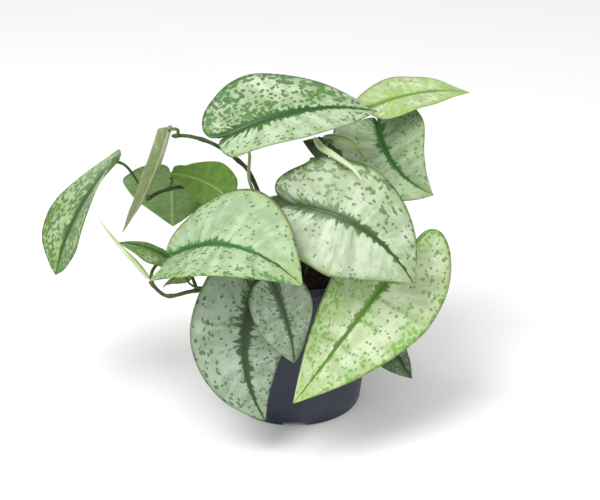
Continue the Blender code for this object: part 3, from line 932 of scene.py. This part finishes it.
def blade_grids(blade, wave, chance):
    """Points on the upper and lower side, row by row, and where they lie on the flat blade."""
    columns = range(-LEAF_COLUMNS, LEAF_COLUMNS + 1)
    spread = [math.copysign((abs(j) / LEAF_COLUMNS) ** COLUMN_CROWDING, j) for j in columns]
    rows = [i / LEAF_ROWS for i in range(LEAF_ROWS + 1)]
    sheet = np.array([[blade.surface(row, across) for across in spread] for row in rows])
    flat = np.array([[blade.flat(row, across) for across in spread] for row in rows])
    normal = np.cross(np.gradient(sheet, axis=0), np.gradient(sheet, axis=1))
    normal[0], normal[-1] = normal[2], normal[-2]
    normal[1] = normal[2]
    normal *= np.where(normal[..., 2:] < 0, -1, 1)
    normal /= np.linalg.norm(normal, axis=2, keepdims=True)
    for _ in range(2):
        normal[1:-1] = (normal[:-2] + 2 * normal[1:-1] + normal[2:]) / 4
        normal /= np.linalg.norm(normal, axis=2, keepdims=True)
    row = np.array(rows)[:, None]
    out = np.abs(np.array(spread))[None, :]
    side = np.sign(np.array(spread))[None, :]
    from_rib = flat[..., 1]
    quilt = np.sin(math.pi * ((row * SIDE_VEINS + 0.5) % 1)) * np.sin(math.pi * np.clip(out, 0, 1)) ** 0.7
    ripple = 0
    for turns in RIPPLES:
        strength = chance.uniform(0.5, 1)
        phase = 2 * math.pi * (row * turns + chance.random())
        ripple = ripple + strength * np.sin(phase + side * chance.uniform(0, 3))
    ends = np.sin(math.pi * np.clip(row, 0, 1)) ** 0.5
    groove = np.exp(-((from_rib / GROOVE_WIDTH) ** 2)) * (1 - 0.7 * row)
    lift = QUILTING * quilt * ends + wave * MM * ripple * out**3 * ends - GROOVE_DEPTH * groove * ends
    half = LEAF_THICKNESS / 2 * np.sqrt(np.clip(1 - out**8, 0, 1)) * np.clip(ends * 3, 0, 1)
    ridge = RIDGE_HEIGHT * np.exp(-((from_rib / RIDGE_WIDTH) ** 2)) * (1 - 0.75 * row)
    ridge *= np.clip(ends * 2, 0, 1)
    upper = sheet + normal * (lift + half)[..., None]
    lower = sheet + normal * (lift - half - ridge)[..., None]
    place = np.stack([flat[..., 0] * blade.length, side * flat[..., 1]], 2) / CM
    net = np.stack([row + 0 * out, np.array(spread)[None, :] + 0 * row], 2)
    return upper, lower, place, net


def leaf(
    name, silver, green, margin=None, under=(120, 150, 80), flecks=(0.3, 0.3), band=0.25, rim=0.08,
    early=0.0, lines=0.5, wave=0.5, **shape,
):
    """One blade. Its shape is in millimetres and degrees, its colours as on a paint card.

    Flecks says how green the left and right half are: how densely flecked, and how much painted shade
    darkens their silver. Band is the width of the midrib's green band and rim that of the margin's. Early
    thins the flecks and the painted shade towards the tip, lines darkens the side veins and wave ripples
    the margin.
    """
    blade = Blade(**shape)
    chance = random.Random(name)
    upper, lower, place, net = blade_grids(blade, wave, chance)
    across = 2 * LEAF_COLUMNS + 1
    points, index = [], {}
    matrix = blade.matrix()

    def vertex(side, i, j):
        pole = i in (0, LEAF_ROWS)
        shared = pole or j in (0, across - 1)
        key = (0 if shared else side, i, 0 if pole else j)
        if key not in index:
            index[key] = len(points)
            spot = (upper[i, j] + lower[i, j]) / 2 if shared else (upper, lower)[side][i, j]
            points.append(matrix @ Vector(spot))
        return index[key]

    faces, sides, spots = [], [], []
    for side in (0, 1):
        for i in range(LEAF_ROWS):
            for j in range(across - 1):
                ring = [(i, j), (i + 1, j), (i + 1, j + 1), (i, j + 1)]
                if side:
                    ring.reverse()
                corners, seen = [], set()
                for a, b in ring:
                    number = vertex(side, a, b)
                    if number not in seen:
                        seen.add(number)
                        corners.append((number, a, b))
                if len(corners) > 2:
                    faces.append(tuple(corner[0] for corner in corners))
                    sides.append(side)
                    spots.extend(corner[1:] for corner in corners)
    piece = mesh_piece(name.replace("leaf_", "blade_"), points, faces, LEAF_SIDES)
    mesh = piece.data
    mesh.polygons.foreach_set("material_index", sides)
    spots = np.array(spots)
    for label, grid in (("veins", net), ("flat", place)):
        layer = mesh.uv_layers.new(name=label)
        layer.data.foreach_set("uv", grid[spots[:, 0], spots[:, 1]].astype(np.float32).ravel())
    paint = {
        "silver": colour(*silver),
        "green": colour(*green),
        "margin": colour(*(margin or green)),
        "under": colour(*under),
        "marks": (*flecks, band, 1),
        "pattern": (rim, early, lines, 1),
    }
    for label, value in paint.items():
        layer = mesh.attributes.new(label, "FLOAT_COLOR", "POINT")
        layer.data.foreach_set("color", list(value) * len(mesh.vertices))
    seed = mesh.attributes.new("seed", "FLOAT", "POINT")
    seed.data.foreach_set("value", [chance.uniform(1, 9)] * len(mesh.vertices))
    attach(piece, "root")
    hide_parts(name)
    return blade


top = leaf(
    "leaf_top", base=(-40, -22, 196), tip=(52, 0, 203), face=(0.04, -0.42, 0.9), width=64, bow=11,
    fold=3, uneven=0.24, lobes=(0.85, 0.45), belly=(0.2, 0.4),
    silver=(184, 210, 162), green=(52, 104, 36), margin=(150, 184, 110), flecks=(0.75, 0.2),
    band=0.3,
)
top_right = leaf(
    "leaf_top_right", base=(52, 24, 199), tip=(114, 38, 203), face=(0.1, -0.26, 0.96), width=40,
    bow=5, fold=5, lobes=(1, 0.5),
    silver=(202, 218, 160), green=(132, 178, 62), margin=(150, 190, 84), flecks=(0.5, 0.5),
    band=0.16, rim=0.16,
)
right_back = leaf(
    "leaf_right_back", base=(54, 32, 185), tip=(90, 6, 144), face=(-0.46, -0.6, 0.66), width=64,
    sweep=-8, bow=6, fold=15, lobes=(1, 0.4),
    silver=(180, 208, 156), green=(70, 132, 58), margin=(150, 184, 104), flecks=(0.3, 0.15),
    band=0.2,
)
# Its high left flecks and early fade also lay painted shade on its left half, most near the notch.
centre = leaf(
    "leaf_centre", base=(2, -46, 159), tip=(72, -72, 119), face=(0.09, -0.83, 0.55), width=72,
    bow=11, sweep=8, lobes=(1.25, 0.6), belly=(0.33, 0.42),
    silver=(190, 211, 170), green=(66, 104, 44), margin=(150, 180, 96), flecks=(0.8, 0.3),
    early=0.5, band=0.28,
)
front_right = leaf(
    "leaf_front_right", base=(70, -35, 123), tip=(-1, -98, 50), face=(0.06, -0.93, 0.37), width=70,
    bow=6, uneven=0.13, lobes=(1.15, 0.7),
    silver=(205, 226, 172), green=(106, 162, 46), margin=(178, 212, 108), flecks=(0.45, 0.45),
    band=0.2, rim=0.1,
)
left_front = leaf(
    "leaf_left_front", base=(-72, -60, 133), tip=(5, -96, 129), face=(0.1, -0.42, 0.9), width=78,
    bow=13, nod=18, fold=7, uneven=0.15, lobes=(0.8, 0.3), belly=(0.42, 0.35),
    silver=(172, 206, 154), green=(66, 128, 60), margin=(168, 196, 104), flecks=(0.15, 0.5),
    band=0.24, rim=0.1,
)
bottom_left = leaf(
    "leaf_bottom_left", base=(-20, -63, 117), tip=(-18, -82, 28), face=(0.06, -0.91, 0.39),
    width=62, bow=4, sweep=-12, uneven=-0.1, lobes=(0.6, 0.5), belly=(0.28, 0.36),
    silver=(168, 193, 162), green=(62, 94, 52), margin=(140, 170, 112), flecks=(0.35, 0.3),
    band=0.36, lines=0.85,
)
bottom_middle = leaf(
    "leaf_bottom_middle", base=(-12, -76, 117), tip=(0, -80, 68), face=(0.42, -0.81, 0.4), width=41,
    bow=5,
    silver=(156, 180, 148), green=(66, 98, 54), margin=(130, 158, 100), flecks=(0.3, 0.3), band=0.2,
)
# Its full flecks also lay heavy painted shade over its silver.
far_left = leaf(
    "leaf_far_left", base=(-112, -5, 173), tip=(-154, -20, 99), face=(-0.87, 0.07, 0.48), width=56,
    bow=6, fold=7, twist=-45, uneven=-0.12, lobes=(0.2, 0.2), belly=(0.55, 0.6),
    silver=(176, 204, 152), green=(58, 104, 30), margin=(150, 190, 70), flecks=(1.0, 0.7), band=0.5,
    rim=0.14,
)
edge_left = leaf(
    "leaf_edge_left", base=(-80, 0, 192), tip=(-111, -12, 125), face=(-0.91, 0.28, 0.31), width=36,
    bow=-3, fold=5, lobes=(0.1, 0.1), belly=(0.4, 0.4),
    silver=(182, 204, 158), green=(84, 126, 54), under=(172, 187, 132), wave=0.3,
)
green_back = leaf(
    "leaf_green_back", base=(-82, 32, 147), tip=(-86, 66, 95), face=(0, 0.8, 0.6), width=66, bow=4,
    lobes=(1.4, 1.4),
    silver=(176, 202, 150), green=(64, 112, 44), under=(116, 154, 76),
)
green_dome = leaf(
    "leaf_green_dome", base=(-42, 4, 142), tip=(-82, 12, 157), face=(0, 0.97, 0.25), width=40,
    bow=7, lobes=(0.4, 0.4),
    silver=(168, 196, 140), green=(56, 98, 34), under=(100, 140, 42), wave=0.3,
)
# Its silver, green and underside colours are darkened: painted shade, as it lies low under the front leaves.
low_right = leaf(
    "leaf_low_right", base=(52, -46, 82), tip=(75, -56, 43), face=(-0.4, -0.7, 0.6), width=30,
    bow=3, fold=24, uneven=-0.2,
    silver=(124, 150, 100), green=(50, 78, 34), under=(64, 90, 40), flecks=(0.7, 0.7), wave=0.3,
)
small_left = leaf(
    "leaf_small_left", base=(-81, -39, 122), tip=(-110, -39, 131), face=(-0.22, 0, 0.98), width=28,
    bow=2, fold=-12,
    silver=(150, 180, 116), green=(76, 122, 44), under=(98, 128, 56), flecks=(0.7, 0.7), wave=0.3,
)
# Its underside colour is darkened: a painted shadow along the lower side of this thin leaf.
centre_back = leaf(
    "leaf_centre_back", base=(20, -15, 192), tip=(43, -18, 179), face=(0.27, 0.1, 0.96), width=14,
    bow=5, lobes=(0.4, 0.4),
    silver=(168, 186, 84), green=(136, 160, 52), under=(58, 78, 30), flecks=(0.7, 0.7), wave=0.1,
)
behind_left = leaf(
    "leaf_behind_left", base=(-38, -12, 134), tip=(-12, -24, 141), face=(0.2, -0.6, 0.78), width=32,
    bow=6, lobes=(0.4, 0.4),
    silver=(128, 156, 96), green=(58, 92, 34), flecks=(0.9, 0.9), wave=0.3,
)
curled_left = leaf(
    "leaf_curled_left", base=(-66, -58, 117), tip=(-80, -68, 114), face=(-0.3, 0.6, 0.75), width=15,
    bow=3, fold=-25,
    silver=(150, 172, 96), green=(96, 128, 50), under=(112, 132, 60), flecks=(0.7, 0.7), wave=0.1,
)
# Its silver and green are darkened: painted shade, as it sits deep behind the upper leaves.
peek = leaf(
    "leaf_peek", base=(22, 8, 174), tip=(5, 2, 183), face=(-0.2, -0.9, 0.4), width=16, bow=3,
    lobes=(0.4, 0.4),
    silver=(96, 126, 68), green=(52, 84, 32), flecks=(0.9, 0.9), wave=0.1,
)
back_left = leaf(
    "leaf_back_left", base=(-38, 52, 115), tip=(-58, 92, 61), face=(-0.25, 0.7, 0.66), width=60,
    bow=8,
    silver=(178, 206, 156), green=(62, 116, 46), margin=(146, 180, 98), flecks=(0.4, 0.5),
)
back_middle = leaf(
    "leaf_back_middle", base=(2, 76, 107), tip=(-5, 104, 37), face=(0, 0.93, 0.36), width=62, bow=8,
    silver=(186, 210, 166), green=(66, 118, 50), margin=(152, 186, 104), flecks=(0.3, 0.4),
)
back_right = leaf(
    "leaf_back_right", base=(47, 57, 116), tip=(76, 86, 63), face=(0.35, 0.7, 0.62), width=52,
    bow=8,
    silver=(180, 206, 152), green=(72, 124, 48), margin=(150, 188, 96), flecks=(0.6, 0.4),
)
back_high = leaf(
    "leaf_back_high", base=(28, 44, 135), tip=(38, 94, 107), face=(0.1, 0.4, 0.91), width=62,
    bow=10,
    silver=(176, 204, 154), green=(58, 110, 42), margin=(146, 182, 100), flecks=(0.5, 0.7),
)
back_side = leaf(
    "leaf_back_side", base=(66, 20, 115), tip=(90, 24, 65), face=(0.85, 0.3, 0.42), width=52, bow=8,
    silver=(186, 210, 158), green=(76, 126, 52), margin=(154, 190, 100), flecks=(0.5, 0.4),
)


# ------------------------------------------------------------------ young leaves
# Two leaves that are still rolled into pale pointed spears, each drawn out of the end of its vine.
SPEAR_STEPS = 10
SPEAR_POINT = 0.12
SPEAR_GROOVE = 0.22


def rolled_leaf(name, *places, radius):
    """A rolled leaf through the places, in millimetres. It is thickest near its base."""
    through = [point(place) for place in places]
    steps = SPEAR_STEPS * (len(places) - 1)
    path = [spline(through, index / steps) for index in range(steps + 1)]

    def radius_at(share):
        return radius * max(min(1, 0.6 + 2 * share) * (1 - 0.85 * share**2), SPEAR_POINT)

    piece = swept(name.replace("spear_", "rolled_"), path, radius_at, SPEAR_SKIN, SPEAR_GROOVE)
    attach(piece, "root")
    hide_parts(name)


SPEAR_SKIN = stem_finish(
    "rolled_leaf_skin", colour(168, 184, 128), colour(196, 206, 166), colour(208, 214, 186)
)
rolled_leaf(
    "spear_centre",
    (13, -13.6, 190), (17, -26, 189), (25, -38, 188), (35, -48, 184), (40, -56, 180),
    radius=2.4 * MM,
)
rolled_leaf(
    "spear_low", (-91, -50, 112), (-99, -48, 122), (-108, -46, 132), (-120, -42, 147), radius=2 * MM
)


# ------------------------------------------------------------------ leaf stalks
# Each blade hangs on a fleshy stalk with a shallow channel along its upper side. The stalk clasps its
# vine with a wider foot, bends on its way out and has a short swollen knee just under the blade.
PETIOLE_RADIUS = 1.1 * MM
PETIOLE_STEPS = 44
STALK_THINNING = 0.12
FOOT_LENGTH = 0.07
FOOT_SWELLING = 0.35
KNEE_PLACE = 0.94
KNEE_LENGTH = 0.035
KNEE_SWELLING = 0.22
CHANNEL_DEPTH = 0.3
PETIOLE_SKIN = stem_finish("leaf_stalk_skin", colour(58, 80, 28), colour(98, 126, 50), colour(140, 154, 88))
PALE_SKIN = stem_finish("pale_stalk_skin", colour(126, 142, 76), colour(164, 178, 118), colour(182, 190, 146))


def petiole(name, stem, share, bend, blade, radius=PETIOLE_RADIUS, knee=1, past=None, skin=None):
    """A leaf stalk from a share of the way along a vine, by way of a bend, to a blade's notch.

    Knee scales how far under the blade the stalk makes its last bend. Past is a second place that a
    long stalk passes through after its bend.
    """
    start = spline(stem, share)
    control = point(bend)
    forward, lift = blade.notch_frame()
    under = blade.base - knee * (forward * 0.06 * blade.length + lift * (0.08 * blade.length + 2 * MM))
    end = blade.base + forward * 1.2 * MM - lift * 0.9 * MM
    path = []
    for index in range(PETIOLE_STEPS + 1):
        u = index / PETIOLE_STEPS
        v = 1 - u
        if past:
            path.append(spline([start, control, point(past), under, end], u))
        else:
            path.append(v**3 * start + 3 * u * v**2 * control + 3 * u**2 * v * under + u**3 * end)

    def radius_at(share):
        foot = math.exp(-((share / FOOT_LENGTH) ** 2))
        swelling = math.exp(-(((share - KNEE_PLACE) / KNEE_LENGTH) ** 2))
        thinning = 1.02 - STALK_THINNING * share
        return radius * (thinning + FOOT_SWELLING * foot + KNEE_SWELLING * swelling)

    piece = swept(name.replace("petiole_", "stalk_"), path, radius_at, skin or PETIOLE_SKIN, CHANNEL_DEPTH)
    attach(piece, "root")
    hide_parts(name)


petiole(
    "petiole_top", arching_vine, 0.15, (-28.5, -8, 159), top, knee=0.6, past=(-28.5, -19, 184),
    skin=PALE_SKIN,
)
petiole("petiole_edge_left", arching_vine, 0.95, (-71, -2, 192), edge_left, knee=0.55)
petiole("petiole_behind_left", arching_vine, 0.08, (-30, 4, 115), behind_left)
petiole("petiole_green_dome", left_vine, 0.22, (-44, -12, 129), green_dome)
petiole("petiole_green_back", left_vine, 0.72, (-80, 26, 149), green_back)
petiole("petiole_far_left", left_vine, 0.94, (-102, 4, 149), far_left)
petiole("petiole_small_left", low_vine, 0.96, (-93, -40, 115), small_left)
petiole("petiole_curled_left", low_vine, 0.5, (-63, -64, 110), curled_left, radius=0.8 * MM)
petiole("petiole_left_front", low_vine, 0.6, (-64, -50, 119), left_front)
petiole("petiole_bottom_left", low_vine, 0.3, (-36, -56, 127), bottom_left)
petiole("petiole_bottom_middle", low_vine, 0.1, (-8, -58, 144), bottom_middle, knee=0.4)
petiole("petiole_centre", front_vine, 0.35, (6, -24, 149), centre)
petiole("petiole_front_right", front_vine, 0.16, (50, -14, 125), front_right)
petiole("petiole_low_right", front_vine, 0.05, (62, -42, 143), low_right, knee=1.8)
petiole("petiole_centre_back", front_vine, 0.85, (21, -15, 184), centre_back, radius=0.7 * MM)
petiole("petiole_peek", right_vine, 0.55, (14, 22, 169), peek, radius=0.8 * MM)
petiole("petiole_right_back", right_vine, 0.93, (54, 46, 178), right_back)
petiole("petiole_top_right", right_vine, 0.8, (42, 54, 203), top_right)
petiole("petiole_back_high", right_vine, 0.26, (26, 32, 133), back_high)
petiole("petiole_back_side", right_vine, 0.12, (44, 16, 121), back_side)
petiole("petiole_back_left", back_vine, 0.3, (-14, 44, 121), back_left)
petiole("petiole_back_middle", back_vine, 0.6, (8, 60, 121), back_middle)
petiole("petiole_back_right", back_vine, 0.9, (34, 56, 114), back_right)
